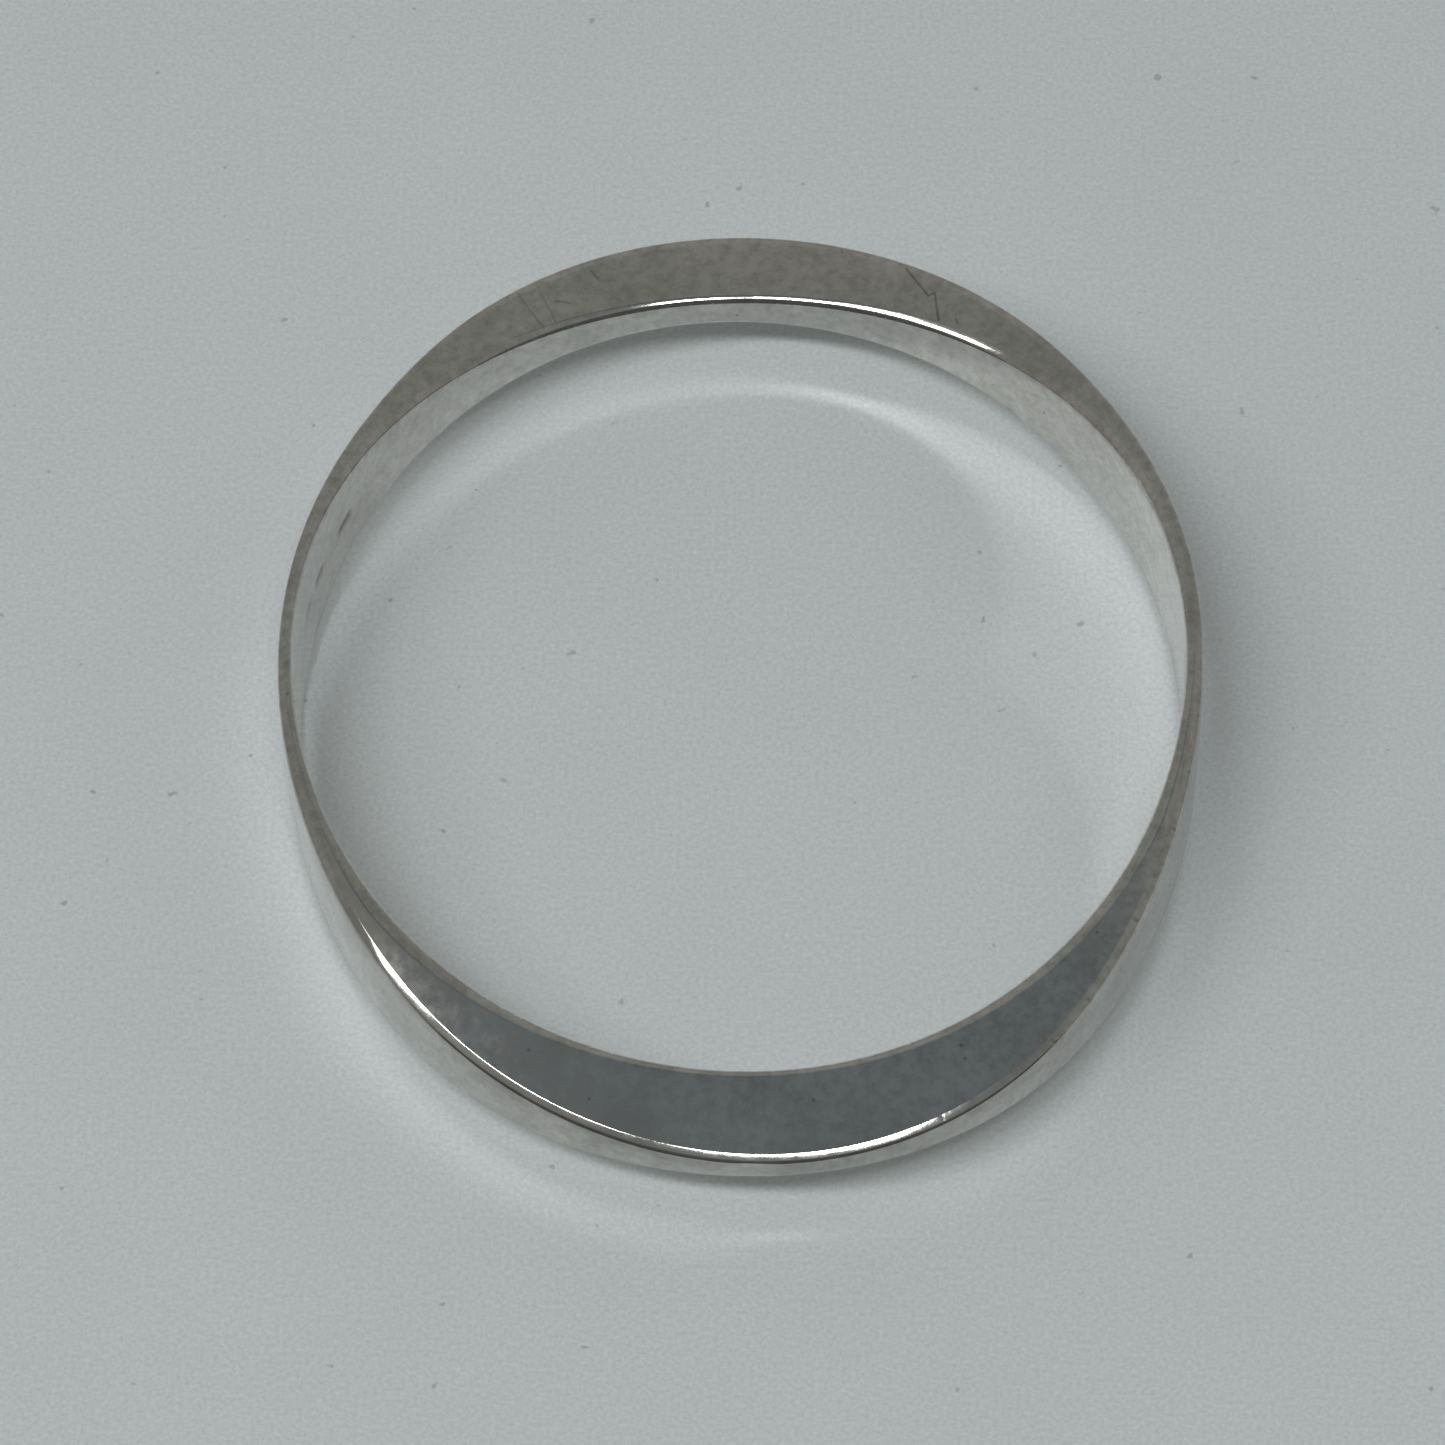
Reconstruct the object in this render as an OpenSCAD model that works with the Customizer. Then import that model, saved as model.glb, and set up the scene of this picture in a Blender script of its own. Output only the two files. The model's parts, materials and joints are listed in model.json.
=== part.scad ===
// Closed bangle, forged in one piece from solid silver.
//
// The opening is a true round bore. The band is thin and tall at the two sides
// (+X and -X), and turns into a broad, low flange at the front and back (-Y and +Y).
// Its top and bottom faces are saddles: each falls from the sides to the front and
// back, and the bottom one mirrors the top one about the level middle plane.
// Origin: on the surface it stands on, under the centre of the bore. Millimetres.

/* [Wrist opening] */
// Diameter of the round opening that the hand passes through
bore_d = 64; // [56:0.5:72]

/* [Outline from above] */
// Thickness of the band at each side, where it is thinnest
side_t = 1.1; // [0.8:0.1:2]
// Breadth of the flange at the front and back, where it is broadest
flange_w = 6.4; // [5:0.1:9]
// Radius of the outline's front and back, as a share of its half width
end_round = 0.91; // [0.86:0.01:0.95]

/* [Heights] */
// Height of the band at each side, which is the bangle's full height
side_h = 13.4; // [9:0.1:16]
// Height of the band's inner edge at the front and back
inner_h = 4.6; // [3.6:0.1:6]
// Height of the flange's outer edge at the front and back
outer_h = 2.2; // [1.2:0.1:3]

/* [Hidden] */
$fn = 360;
SILVER = [0.76, 0.76, 0.74];
// How far a cutting or limiting shape runs past the surface that it trims
OVER = 1;

bore_r = bore_d / 2;
half_w = bore_r + side_t;
half_l = bore_r + flange_w;

// The oval outline has four arcs: two of end_r round the front and back,
// and two of flank_r along the sides, each tangent to its neighbours.
end_r = end_round * half_w;
flank_r = (pow(half_w, 2) + pow(half_l, 2) - 2 * half_l * end_r) / (2 * (half_w - end_r));
end_y = half_l - end_r;
flank_x = flank_r - half_w;
tangent_y = end_y * flank_r / (flank_r - end_r);

// Each saddle face is part of a spool, a solid turned about an axis along X.
// The spool's waist is a circle through the inner and outer edge heights at the front and
// back, and it flares along an arc up to the full height at the sides.
inner_z = inner_h / 2;
outer_z = outer_h / 2;
axle_drop = (pow(half_l, 2) - pow(bore_r, 2) + pow(outer_z, 2) - pow(inner_z, 2))
    / (2 * (inner_z - outer_z));
waist_r = norm([bore_r, inner_z + axle_drop]);
flare = side_h / 2 + axle_drop - waist_r;
flare_r = (pow(half_w, 2) + pow(flare, 2)) / (2 * flare);

module oval() {
    for (side = [-1, 1])
        translate([0, side * end_y])
            circle(r = end_r);
    intersection() {
        translate([-flank_x, 0])
            circle(r = flank_r);
        translate([flank_x, 0])
            circle(r = flank_r);
        square([2 * half_l, 2 * tangent_y], center = true);
    }
}

// Everything below the upper saddle face, measured from the middle plane
module spool() {
    translate([0, 0, -axle_drop])
        rotate([0, 90, 0])
            rotate_extrude($fn = 4 * $fn)
                difference() {
                    translate([0, -half_w - OVER])
                        square([waist_r + 2 * flare, 2 * (half_w + OVER)]);
                    translate([waist_r + flare_r, 0])
                        circle(r = flare_r, $fn = 4 * $fn);
                }
}

module band() {
    color(SILVER)
        translate([0, 0, side_h / 2])
            difference() {
                intersection() {
                    linear_extrude(side_h + 2 * OVER, center = true)
                        oval();
                    spool();
                    mirror([0, 0, 1])
                        spool();
                }
                cylinder(r = bore_r, h = side_h + 4 * OVER, center = true);
            }
}

band();
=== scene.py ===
"""Closed silver bangle on a pale table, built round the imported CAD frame.

The band is one mesh: a cross-section swept round the wrist opening, with its edges worn
round and the small unevenness of a ring that was forged and filed by hand. Angles round
the ring run anticlockwise from +X (the right-hand side) as seen from above.
"""

import json
import math

import bpy
import numpy as np
from mathutils import Matrix, Vector


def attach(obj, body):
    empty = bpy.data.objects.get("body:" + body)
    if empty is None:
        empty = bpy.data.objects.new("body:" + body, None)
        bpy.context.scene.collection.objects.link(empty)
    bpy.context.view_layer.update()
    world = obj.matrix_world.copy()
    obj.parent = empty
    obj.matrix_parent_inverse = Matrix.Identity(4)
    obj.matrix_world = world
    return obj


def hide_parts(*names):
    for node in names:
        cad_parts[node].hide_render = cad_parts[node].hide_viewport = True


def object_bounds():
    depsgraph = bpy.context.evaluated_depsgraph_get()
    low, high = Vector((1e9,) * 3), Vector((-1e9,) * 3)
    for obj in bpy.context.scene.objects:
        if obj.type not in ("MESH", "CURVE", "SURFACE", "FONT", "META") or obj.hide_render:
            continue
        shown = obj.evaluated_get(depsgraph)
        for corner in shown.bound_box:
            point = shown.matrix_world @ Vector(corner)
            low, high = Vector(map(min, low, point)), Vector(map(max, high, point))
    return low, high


MM = 0.001
SEED = 7
rng = np.random.default_rng(SEED)

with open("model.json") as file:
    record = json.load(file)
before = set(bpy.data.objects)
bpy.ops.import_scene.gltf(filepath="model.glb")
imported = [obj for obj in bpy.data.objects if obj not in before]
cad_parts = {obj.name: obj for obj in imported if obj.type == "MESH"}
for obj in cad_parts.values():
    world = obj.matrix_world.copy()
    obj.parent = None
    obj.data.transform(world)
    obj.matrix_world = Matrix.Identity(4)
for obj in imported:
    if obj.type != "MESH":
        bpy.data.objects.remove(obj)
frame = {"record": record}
cad_lo, cad_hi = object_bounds()

# ---- Sizes in millimetres; the overall ones come from the frame ----
BORE_R = frame["record"]["mounts"][0]["dims"]["r_mm"]
HALF_W = cad_hi.x / MM
HALF_L = cad_hi.y / MM
HEIGHT = cad_hi.z / MM
MID_Z = HEIGHT / 2
INNER_H = 4.6  # height of the inner edge at the front and back
OUTER_H = 2.2  # height of the outer edge at the front and back
END_ROUND = 0.91  # radius of the outline's front and back, as a share of its half width

# Each edge is filed to a narrow flat, with a round on each side of it: the flat's tilt from
# the top or bottom face in degrees, and the rounds beside the face and the wall
INNER_EDGE = {"tilt": 35, "face_r": 0.30, "wall_r": 0.60}
OUTER_EDGE = {"tilt": 9.8, "face_r": 0.35, "wall_r": 0.42}
FACE_CROWN = 0.015  # how far each face bulges between its edges, where it is broadest
WALL_CROWN = 0.04  # how far the outer wall bulges
# The most of a face and of a wall that one worn edge may take up
FACE_SHARE = 0.48
WALL_SHARE = 0.45

# Hand work: how far the surface strays from the regular shape. For each number of high spots
# round the ring: how high they are, and the angle in degrees that one of them is at
BORE_STRAY = {2: (0.1, -25), 4: (0.13, 45)}
OUTLINE_STRAY = {0: (-0.13, 0), 1: (0.48, -53), 2: (0.37, -45), 3: (0.2, -43), 4: (0.18, 18),
                 5: (0.13, 18)}
HEIGHT_STRAY = {0: (-0.05, 0), 1: (0.6, -90), 2: (0.55, 48), 3: (0.15, -6)}
RIDGE_DROP = {0: (0.3, 0), 1: (0.55, -85), 2: (0.14, 22), 3: (0.3, -27)}
# Breadth of the flat along each edge: the inner one varies in the same way
INNER_FLAT = {0: (0.36, 0), 2: (0.06, 20), 4: (0.16, 45)}
OUTER_FLAT = 0.42

# How finely the mesh is divided: cross-sections round the ring, then steps along each part
# of a cross-section
AROUND = 2400
TOP_STEPS = 56
UNDER_STEPS = 20
WALL_STEPS = 24
BORE_STEPS = 64
FACE_ARC_STEPS = 3
WALL_ARC_STEPS = 7


def stray(angle, parts):
    """Sum of even waves round the ring."""
    return sum(high * np.cos(n * (angle - math.radians(at))) for n, (high, at) in parts.items())


def saddle(x, y):
    """Half the height between the top and bottom faces, at a place in plan."""
    fall = (INNER_H - OUTER_H) / 2 / (HALF_L**2 - BORE_R**2)
    waist = INNER_H / 2 + fall * BORE_R**2
    rise = (HEIGHT / 2 - waist) / HALF_W**2
    return waist + rise * x**2 - fall * y**2


def oval(angle):
    """Radius of the outline: two arcs round its ends, and two along its sides."""
    end_r = END_ROUND * HALF_W
    flank_r = (HALF_W**2 + HALF_L**2 - 2 * HALF_L * end_r) / (2 * (HALF_W - end_r))
    end_y = HALF_L - end_r
    flank_x = flank_r - HALF_W
    tangent_y = end_y * flank_r / (flank_r - end_r)
    c, s = np.abs(np.cos(angle)), np.abs(np.sin(angle))
    on_end = end_y * s + np.sqrt(end_r**2 - (end_y * c) ** 2)
    on_flank = np.sqrt(flank_r**2 - (flank_x * s) ** 2) - flank_x * c
    return np.where(on_end * s >= tangent_y, on_end, on_flank)


def corners(angle):
    """Radius and half height of the cross-section's inner and outer corners."""
    r_in = BORE_R + stray(angle, BORE_STRAY)
    r_out = oval(angle) + stray(angle, OUTLINE_STRAY)
    lift = stray(angle, HEIGHT_STRAY)
    h_in = saddle(r_in * np.cos(angle), r_in * np.sin(angle)) + lift
    h_out = saddle(r_out * np.cos(angle), r_out * np.sin(angle)) + lift
    return r_in, h_in, r_out, h_out - stray(angle, RIDGE_DROP)


def towards(corner, other):
    """Unit direction from a corner to the next one, and the distance."""
    d = other - corner
    length = np.linalg.norm(d, axis=-1, keepdims=True)
    return d / length, length


def arc(before, corner, after, radius, steps):
    """A round of that radius in place of a corner."""
    a, b = towards(corner, before)[0], towards(corner, after)[0]
    half = np.arccos(np.clip((a * b).sum(-1, keepdims=True), -1, 1)) / 2
    reach = radius / np.tan(half)
    centre = corner + towards(corner, corner + a + b)[0] * radius / np.sin(half)
    start, end = corner + a * reach - centre, corner + b * reach - centre
    sweep = np.pi - 2 * half
    t = [i / steps for i in range(steps + 1)]
    return np.stack(
        [
            centre + (np.sin((1 - k) * sweep) * start + np.sin(k * sweep) * end) / np.sin(sweep)
            for k in t
        ],
        1,
    )


def edge(face_end, corner, wall_end, tilt, flat, face_r, wall_r):
    """A worn edge between a face and a wall, as points from the face to the wall. All of it
    shrinks in proportion where the face or the wall is too narrow for it."""
    a, on_face = towards(corner, face_end)
    b, on_wall = towards(corner, wall_end)
    inside = np.arccos((a * b).sum(-1, keepdims=True))
    face_turn = math.radians(tilt)
    wall_turn = np.pi - inside - face_turn
    face_reach = face_r * math.tan(face_turn / 2)
    wall_reach = wall_r * np.tan(wall_turn / 2)
    cut = flat + face_reach + wall_reach
    back = cut * np.sin(wall_turn) / np.sin(inside)
    down = cut * math.sin(face_turn) / np.sin(inside)
    fit = np.minimum(1, FACE_SHARE * on_face / (back + face_reach))
    fit = np.minimum(fit, WALL_SHARE * on_wall / (down + wall_reach))
    near_face, near_wall = corner + a * back * fit, corner + b * down * fit
    return np.concatenate(
        [
            arc(near_face + a, near_face, near_wall, face_r * fit, FACE_ARC_STEPS),
            arc(near_face, near_wall, near_wall + b, wall_r * fit, WALL_ARC_STEPS),
        ],
        1,
    )


def run(a, b, steps, crown=0.0):
    """Points strictly between two edges, bulging out by crown in the middle."""
    t = (np.arange(1, steps) / steps)[None, :, None]
    start, end = a[:, -1:, :], b[:, :1, :]
    along, _ = towards(start, end)
    out = np.stack([-along[..., 1], along[..., 0]], -1)
    return start * (1 - t) + end * t + out * crown * 4 * t * (1 - t)


def section(angle):
    """The closed cross-section at each angle, as (radius, height) points."""
    r_in, h_in, r_out, h_out = corners(angle)
    inner_top = np.stack([r_in, h_in], -1)
    outer_top = np.stack([r_out, h_out], -1)
    outer_low = np.stack([r_out, -h_out], -1)
    inner_low = np.stack([r_in, -h_in], -1)
    inner = {"flat": stray(angle, INNER_FLAT)[:, None], **INNER_EDGE}
    outer = {"flat": OUTER_FLAT, **OUTER_EDGE}
    e1 = edge(outer_top, inner_top, inner_low, **inner)[:, ::-1]
    e2 = edge(inner_top, outer_top, outer_low, **outer)
    e3 = edge(inner_low, outer_low, outer_top, **outer)[:, ::-1]
    e4 = edge(outer_low, inner_low, inner_top, **inner)
    width = (r_out - r_in)[:, None, None] / (HALF_L - BORE_R)
    runs = [
        e1,
        run(e1, e2, TOP_STEPS, FACE_CROWN * width),
        e2,
        run(e2, e3, WALL_STEPS, WALL_CROWN),
        e3,
        run(e3, e4, UNDER_STEPS, FACE_CROWN * width),
        e4,
        run(e4, e1, BORE_STEPS),
    ]
    return np.concatenate(runs, 1)


def outward(points):
    """Unit normals of the swept grid, pointing out of the metal."""
    around = np.roll(points, -1, 0) - np.roll(points, 1, 0)
    across = np.roll(points, -1, 1) - np.roll(points, 1, 1)
    n = np.cross(across, around)
    return n / np.linalg.norm(n, axis=-1, keepdims=True)


def spot(degrees, share, where="top"):
    """A place on the band: share is across the top face from its inner edge, or up the bore."""
    angle = math.radians(degrees)
    r_in, h_in, r_out, h_out = (float(v) for v in corners(np.array(angle)))
    r, z = {
        "top": (r_in + (r_out - r_in) * share, h_in + (h_out - h_in) * share),
        "bore": (r_in, h_in * (2 * share - 1)),
    }[where]
    return np.array([r * math.cos(angle), r * math.sin(angle), z + MID_Z])


def score(points, grime_and_shade_map, normals, path, width, depth, grime):
    """Presses a groove of that width and depth into the surface along a path of places, and
    leaves grime in it."""
    nearest = np.full(points.shape[:2], np.inf)
    for a, b in zip(path, path[1:] + path[-1:]):
        ab = b - a
        length2 = max(float(ab @ ab), 1e-9)
        t = np.clip(((points - a) @ ab) / length2, 0, 1)
        nearest = np.minimum(nearest, np.linalg.norm(points - a - t[..., None] * ab, axis=-1))
    groove = np.exp(-((nearest / width) ** 2))
    return points - normals * (depth * groove)[..., None], np.maximum(grime_and_shade_map, grime * groove)


# Marks of wear. Places are (degrees round, share across), and sizes are in millimetres.
# Scratches on the top face: path, width, depth and grime
SCRATCHES = [
    ([(72.3, 0.96), (67.3, 0.55), (66.8, 0.65), (64.5, 0.19)], 0.09, 0.015, 0.55),
    ([(117.9, 0.91), (117.3, 0.08)], 0.07, 0.010, 0.35),
    ([(115.4, 0.89), (115.4, 0.16)], 0.07, 0.010, 0.35),
    ([(114.1, 0.49), (112.7, 0.38)], 0.10, 0.015, 0.6),
    ([(108.6, 0.79), (108.2, 0.62)], 0.10, 0.015, 0.4),
    ([(79.7, 0.93), (79.2, 0.88)], 0.10, 0.015, 0.5),
    ([(62.6, 0.33), (62.0, 0.27)], 0.08, 0.015, 0.5),
]
PITS = [(319.7, 0.36), (298.0, 0.46), (298.3, 0.31), (254.1, 0.65), (245.6, 0.41), (279.8, 0.38),
        (190.4, 0.49), (187.6, 0.34), (183.0, 0.2), (142.1, 0.03), (47.5, 0.14)]
PIT_WIDTHS = (0.08, 0.13)
PIT_DEPTH = 0.010
PIT_GRIME = 0.7
# Nicks in the ridge, which is the top face's outer edge: degrees round
RIDGE_NICKS = [351, 343.5, 336, 331.5, 327.5, 324, 317.5, 313.5, 310.5, 307.5, 303, 293]
NICK_SHARES = (0.92, 1.0)
NICK_WIDTHS = (0.10, 0.16)
NICK_DEPTH = 0.045
NICK_GRIME = 0.9
BORE_PITS = [(46.8, 0.51), (91.4, 0.43)]
BORE_PIT = {"width": 0.13, "depth": 0.02, "grime": 0.8}
# Plain worn dents where a maker would punch the bore: degrees round, half length, grime
PUNCH_DENTS = [(155.0, 1.0, 0.95), (163.6, 0.8, 0.85), (168.8, 0.7, 0.4)]
PUNCH_SHARE = 0.5
PUNCH_WIDTH = 0.62
PUNCH_DEPTH = 0.08
WALL_PAINTED_SHADE = 0.30  # painted shade: the outer wall is darkened all over, for the shadowed table it reflects,
BORE_PAINTED_SHADE = 0.15  # and the bore a little, also as painted shade


def worn(points):
    """Scratches, pits and nicks pressed into the surface, and how dark each place is: grime in the
    marks, and painted shade on the walls.
    """
    normals = outward(points)
    away = points[..., :2] / np.linalg.norm(points[..., :2], axis=-1, keepdims=True)
    facing = (normals[..., :2] * away).sum(-1)
    # Painted shade: each wall is darkened by how squarely it faces sideways
    grime_and_shade_map = np.where(facing > 0, WALL_PAINTED_SHADE, BORE_PAINTED_SHADE) * facing**2
    marks = [([spot(*p) for p in path], *sizes) for path, *sizes in SCRATCHES]
    marks += [([spot(*p)], rng.uniform(*PIT_WIDTHS), PIT_DEPTH, PIT_GRIME) for p in PITS]
    marks += [
        ([spot(d, rng.uniform(*NICK_SHARES))], rng.uniform(*NICK_WIDTHS), NICK_DEPTH, NICK_GRIME)
        for d in RIDGE_NICKS
    ]
    marks += [([spot(*p, "bore")], *BORE_PIT.values()) for p in BORE_PITS]
    marks += [
        ([spot(d + k * half, PUNCH_SHARE, "bore") for k in (-1, 1)], PUNCH_WIDTH, PUNCH_DEPTH, grime)
        for d, half, grime in PUNCH_DENTS
    ]
    for path, width, depth, grime in marks:
        points, grime_and_shade_map = score(points, grime_and_shade_map, normals, path, width, depth, grime)
    return points, grime_and_shade_map


def make_band(material):
    angle = np.arange(AROUND) * 2 * math.pi / AROUND
    ring = section(angle)
    points = np.stack(
        [
            ring[..., 0] * np.cos(angle)[:, None],
            ring[..., 0] * np.sin(angle)[:, None],
            ring[..., 1] + MID_Z,
        ],
        -1,
    )
    points, grime_and_shade_map = worn(points)
    points = np.clip(points, np.array(cad_lo) / MM, np.array(cad_hi) / MM)
    n, m = points.shape[:2]
    i, j = np.meshgrid(np.arange(n), np.arange(m), indexing="ij")
    i2, j2 = (i + 1) % n, (j + 1) % m
    faces = np.stack([i * m + j, i * m + j2, i2 * m + j2, i2 * m + j], -1).reshape(-1, 4)
    mesh = bpy.data.meshes.new("band_worn")
    mesh.from_pydata((points.reshape(-1, 3) * MM).tolist(), [], faces.tolist())
    mesh.shade_smooth()
    mesh.materials.append(material)
    # This attribute holds both the grime in the marks and the painted shade on the walls
    grime = mesh.attributes.new("grime", "FLOAT", "POINT")
    grime.data.foreach_set("value", grime_and_shade_map.reshape(-1).astype(np.float32))
    obj = bpy.data.objects.new("band_worn", mesh)
    bpy.context.scene.collection.objects.link(obj)
    return obj


# ---- Materials ----
class Nodes:
    """Short helpers for building a material's node tree."""

    def __init__(self, tree):
        self.tree = tree

    def add(self, kind, **values):
        node = self.tree.nodes.new(kind)
        for key, value in values.items():
            if key in node.bl_rna.properties:
                setattr(node, key, value)
            else:
                node.inputs[key.replace("_", " ")].default_value = value
        return node

    def link(self, a, b):
        self.tree.links.new(a, b)

    def noise(self, coords, size, detail=3, roughness=0.5):
        """Noise whose features are about that many millimetres across."""
        node = self.add("ShaderNodeTexNoise", Scale=1 / (size * MM), Detail=detail)
        node.inputs["Roughness"].default_value = roughness
        self.link(coords, node.inputs["Vector"])
        return node.outputs["Fac"]

    def ramp(self, value, *stops):
        """Maps a range of values, the first stop, to another range, the second."""
        node = self.add("ShaderNodeMapRange")
        (a, b), (c, d) = stops
        for name, number in zip(("From Min", "From Max", "To Min", "To Max"), (a, b, c, d)):
            node.inputs[name].default_value = number
        self.link(value, node.inputs["Value"])
        return node.outputs["Result"]

    def mix(self, factor, a, b):
        node = self.add("ShaderNodeMix", data_type="RGBA")
        self.link(factor, node.inputs[0])
        for socket, colour in ((node.inputs[6], a), (node.inputs[7], b)):
            if isinstance(colour, tuple):
                socket.default_value = (*colour, 1)
            else:
                self.link(colour, socket)
        return node.outputs[2]

    def bump(self, height, distance, after=None):
        """Relief of that many millimetres, on top of the relief that comes before it."""
        node = self.add("ShaderNodeBump", Distance=distance * MM, Strength=1)
        self.link(height, node.inputs["Height"])
        if after is not None:
            self.link(after, node.inputs["Normal"])
        return node.outputs["Normal"]


# Silver, from clean to dirty; the darkest colour also serves as painted shade on the walls
BRIGHT = (0.79, 0.775, 0.74)
TARNISHED = (0.66, 0.645, 0.605)
STAINED = (0.38, 0.365, 0.33)
GRIME_AND_SHADE_COLOUR = (0.05, 0.045, 0.04)
# Table top, and what lies on it
PALE = (0.835, 0.892, 0.902)
PALEST = (0.86, 0.917, 0.927)
GRAIN = (0.50, 0.54, 0.545)
DUST = (0.36, 0.37, 0.37)
TABLE_ROUGHNESS = 0.75


def silver():
    """Polished silver with cloudy tarnish, small stains, and grime and painted shade where the mesh
    says so.
    """
    mat = bpy.data.materials.new("worn_silver")
    mat.use_nodes = True
    n = Nodes(mat.node_tree)
    shader = mat.node_tree.nodes["Principled BSDF"]
    coords = n.add("ShaderNodeTexCoord").outputs["Object"]
    clouds = n.noise(coords, 7, 5, 0.6)
    specks = n.noise(coords, 0.9, 5, 0.7)
    grime = n.add("ShaderNodeAttribute", attribute_name="grime").outputs["Fac"]
    tarnish = n.ramp(clouds, (0.36, 0.66), (0.0, 1.0))
    base = n.mix(tarnish, BRIGHT, TARNISHED)
    stained = n.mix(n.ramp(specks, (0.42, 0.70), (0, 0.6)), base, STAINED)
    patches = n.ramp(n.noise(coords, 3.5, 3), (0.35, 0.65), (0.75, 1.15))
    # The mesh's values darken the silver in patches: grime in the marks, and painted shade on the
    # walls
    patchy = n.add("ShaderNodeMath", operation="MULTIPLY")
    n.link(grime, patchy.inputs[0])
    n.link(patches, patchy.inputs[1])
    grimy_and_shaded = n.mix(patchy.outputs[0], stained, GRIME_AND_SHADE_COLOUR)
    n.link(grimy_and_shaded, shader.inputs["Base Color"])
    shader.inputs["Metallic"].default_value = 1
    n.link(n.ramp(specks, (0.3, 0.75), (0.04, 0.13)), shader.inputs["Roughness"])
    peel = n.bump(n.noise(coords, 1.4, 3), 0.0016)
    fine = n.bump(n.noise(coords, 0.25, 2), 0.0006, peel)
    n.link(fine, shader.inputs["Normal"])
    return mat


def table_top():
    """A matt pale surface with a fine grain and specks of dust."""
    mat = bpy.data.materials.new("pale_table")
    mat.use_nodes = True
    n = Nodes(mat.node_tree)
    shader = mat.node_tree.nodes["Principled BSDF"]
    coords = n.add("ShaderNodeTexCoord").outputs["Object"]
    soft = n.ramp(n.noise(coords, 14, 4, 0.55), (0.35, 0.7), (0.0, 1.0))
    clean = n.mix(soft, PALE, PALEST)
    grain = n.ramp(n.noise(coords, 0.32, 3, 0.6), (0.3, 0.75), (0.0, 0.5))
    grainy = n.mix(grain, clean, GRAIN)
    dust = n.ramp(n.noise(coords, 1.5, 2, 0.4), (0.74, 0.77), (0.0, 0.55))
    n.link(n.mix(dust, grainy, DUST), shader.inputs["Base Color"])
    shader.inputs["Roughness"].default_value = TABLE_ROUGHNESS
    return mat


# ---- Floor, light, camera ----
FLOOR_SIZE = 4  # metres


def make_floor():
    bpy.ops.mesh.primitive_plane_add(size=FLOOR_SIZE)
    floor = bpy.context.object
    floor.name = "floor"
    floor.data.materials.append(table_top())


# A row of ceiling lights: degrees to the left, to the front and wide, and radiance
LAMPS = {
    "lamp_far_left": (39, 18, 14, 8),
    "lamp_left": (24, 16, 12, 13.5),
    "lamp_middle": (11, 18, 12, 15.5),
    "lamp_right": (-5, 20, 12, 17),
}
LAMP_DEEP = 6  # degrees
LAMP_DISTANCE = 1.2  # metres


def ceiling_light(name, left, front, wide, radiance):
    """A rectangular light overhead, its long side along X. It is turned from straight up by so
    many degrees to the left and to the front, and its size is what the bangle sees."""
    way = Vector((-math.tan(math.radians(left)), -math.tan(math.radians(front)), 1)).normalized()
    light = bpy.data.lights.new(name, "AREA")
    light.shape = "RECTANGLE"
    light.size = 2 * LAMP_DISTANCE * math.tan(math.radians(wide / 2))
    light.size_y = 2 * LAMP_DISTANCE * math.tan(math.radians(LAMP_DEEP / 2))
    light.energy = radiance * math.pi * light.size * light.size_y
    obj = bpy.data.objects.new(name, light)
    along = (Vector((1, 0, 0)) - way * way.x).normalized()
    turned = Matrix((along, way.cross(along), way)).transposed().to_4x4()
    obj.matrix_world = Matrix.Translation(way * LAMP_DISTANCE) @ turned
    bpy.context.scene.collection.objects.link(obj)


# The room's brightness against the height of the direction's unit vector
ROOM = [(0.0, (0.24, 0.235, 0.23)), (0.45, (0.26, 0.255, 0.245)), (0.67, (0.203, 0.208, 0.198)),
        (0.83, (0.225, 0.232, 0.222)), (0.94, (0.150, 0.163, 0.166)), (0.985, (0.128, 0.145, 0.153)),
        (1.0, (0.137, 0.158, 0.168))]
# The room's front side, and the Y of the direction's unit vector where it begins and is complete
FRONT_SHADE = (0.09, 0.09, 0.09)
FRONT_EDGE = (-0.44, -0.54)


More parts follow.
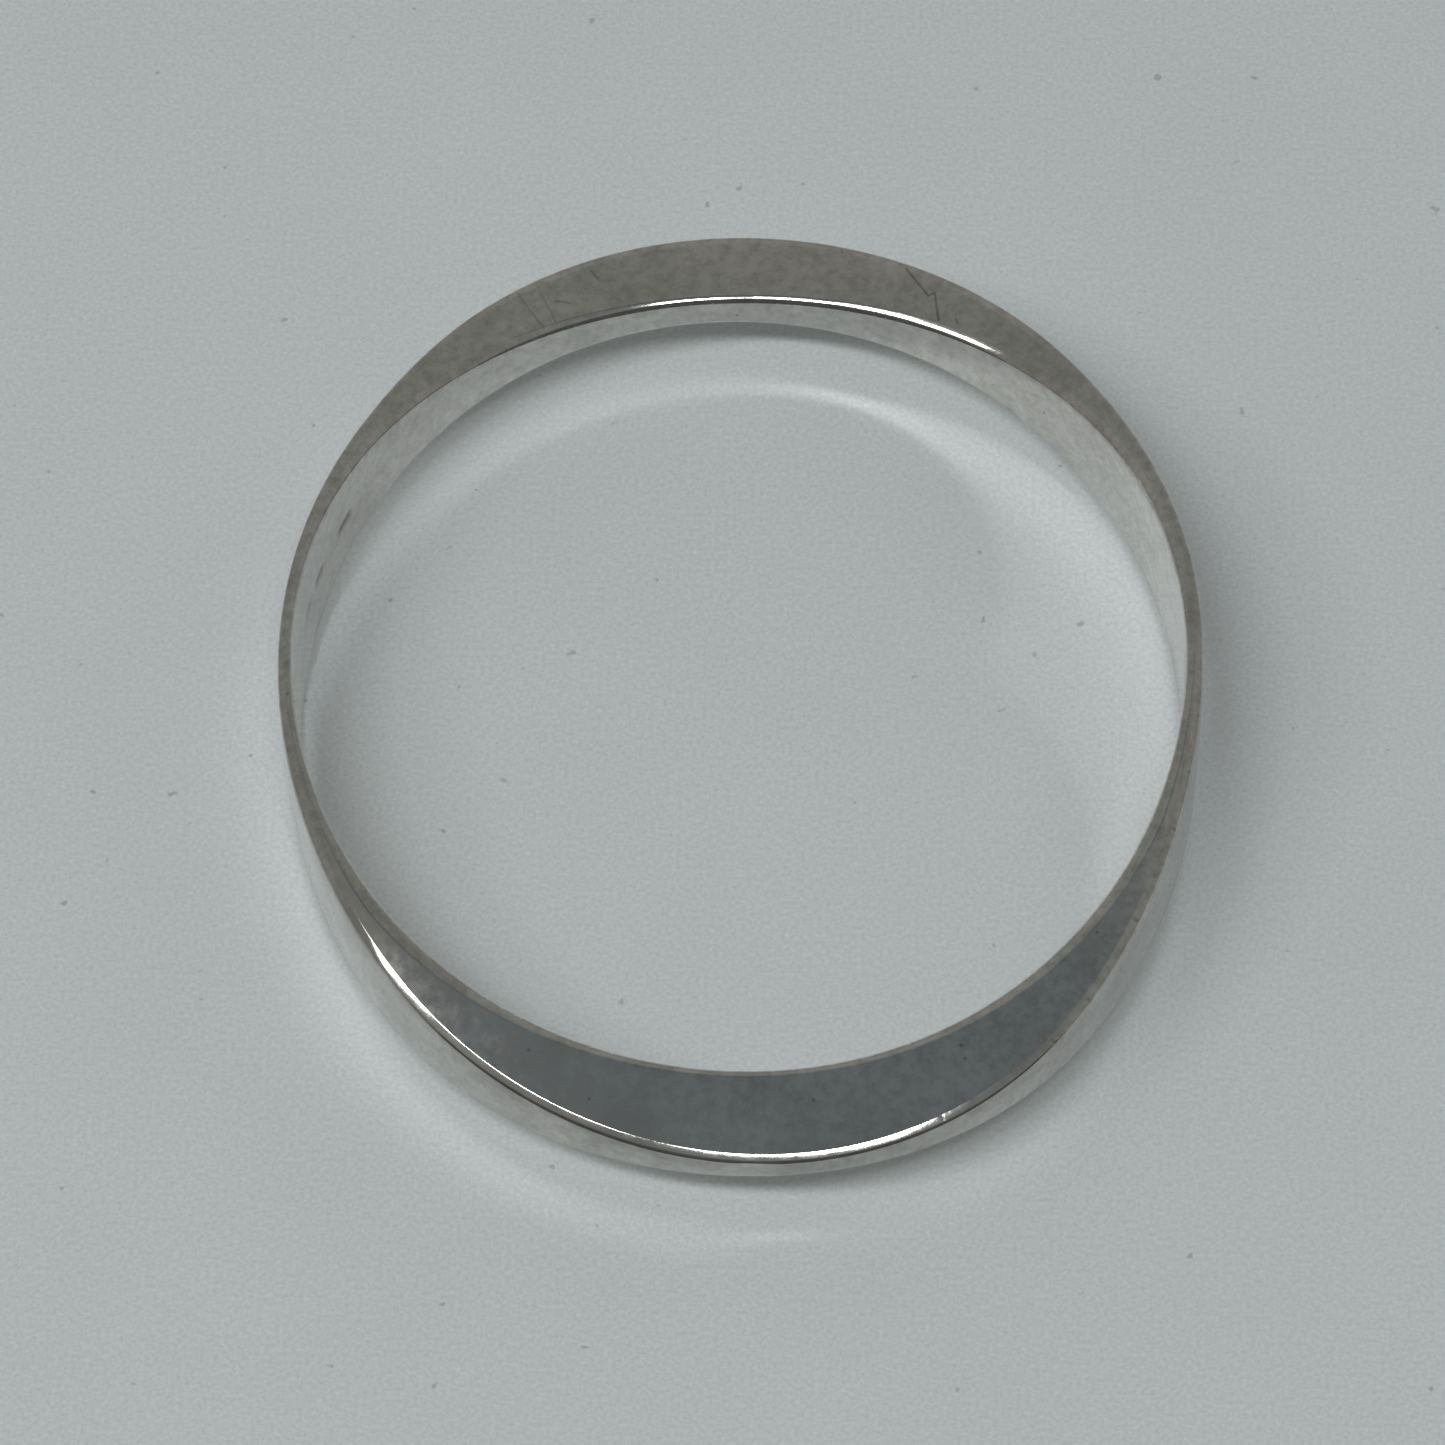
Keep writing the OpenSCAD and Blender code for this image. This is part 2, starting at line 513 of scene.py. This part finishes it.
def make_world():
    """A room whose ceiling is darker than its walls, and darkest at the front."""
    world = bpy.data.worlds.new("studio")
    bpy.context.scene.world = world
    world.use_nodes = True
    n = Nodes(world.node_tree)
    split = n.add("ShaderNodeSeparateXYZ")
    n.link(n.add("ShaderNodeTexCoord").outputs["Generated"], split.inputs[0])
    ramp = n.add("ShaderNodeValToRGB")
    while len(ramp.color_ramp.elements) < len(ROOM):
        ramp.color_ramp.elements.new(0.5)
    for element, (place, colour) in zip(ramp.color_ramp.elements, ROOM):
        element.position = place
        element.color = (*colour, 1)
    n.link(split.outputs["Z"], ramp.inputs["Fac"])
    front = n.ramp(split.outputs["Y"], FRONT_EDGE, (0.0, 1.0))
    room = n.mix(front, ramp.outputs["Color"], FRONT_SHADE)
    n.link(room, world.node_tree.nodes["Background"].inputs["Color"])


# The camera looks at the middle of the bangle, apart from the two shifts. TURN is how far it
# stands round to the right, and ROLL is how far it is tilted in its own picture.
ELEVATION = math.radians(61.07)
DISTANCE = 548 * MM
SENSOR = 36
LENS = 189.46
SIDE_SHIFT = 1.31 * MM
UP_SHIFT = 2.41 * MM
ROLL = math.radians(2.2)
TURN = math.radians(3.1)
FAR_CLIP = 20


def make_camera():
    cam = bpy.data.cameras.new("camera")
    cam.sensor_width = SENSOR
    cam.lens = LENS
    cam.clip_end = FAR_CLIP
    obj = bpy.data.objects.new("camera", cam)
    s, c = math.sin(ELEVATION), math.cos(ELEVATION)
    place = Vector(
        (-SIDE_SHIFT, -UP_SHIFT * s - DISTANCE * c, MID_Z * MM - UP_SHIFT * c + DISTANCE * s)
    )
    tilt = Matrix(((1, 0, 0), (0, s, -c), (0, c, s))).to_4x4()
    obj.matrix_world = (
        Matrix.Rotation(TURN, 4, "Z")
        @ Matrix.Translation(place)
        @ tilt
        @ Matrix.Rotation(-ROLL, 4, "Z")
    )
    bpy.context.scene.collection.objects.link(obj)
    bpy.context.scene.camera = obj


band = make_band(silver())
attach(band, "root")
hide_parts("band")

make_floor()
for name, values in LAMPS.items():
    ceiling_light(name, *values)
make_world()
make_camera()
bpy.context.scene.view_settings.view_transform = "Standard"
bpy.context.scene.cycles.blur_glossy = 0.0  # keep the light that the silver throws on the table
bpy.context.scene.cycles.sample_clamp_indirect = 0.0

bpy.context.view_layer.update()
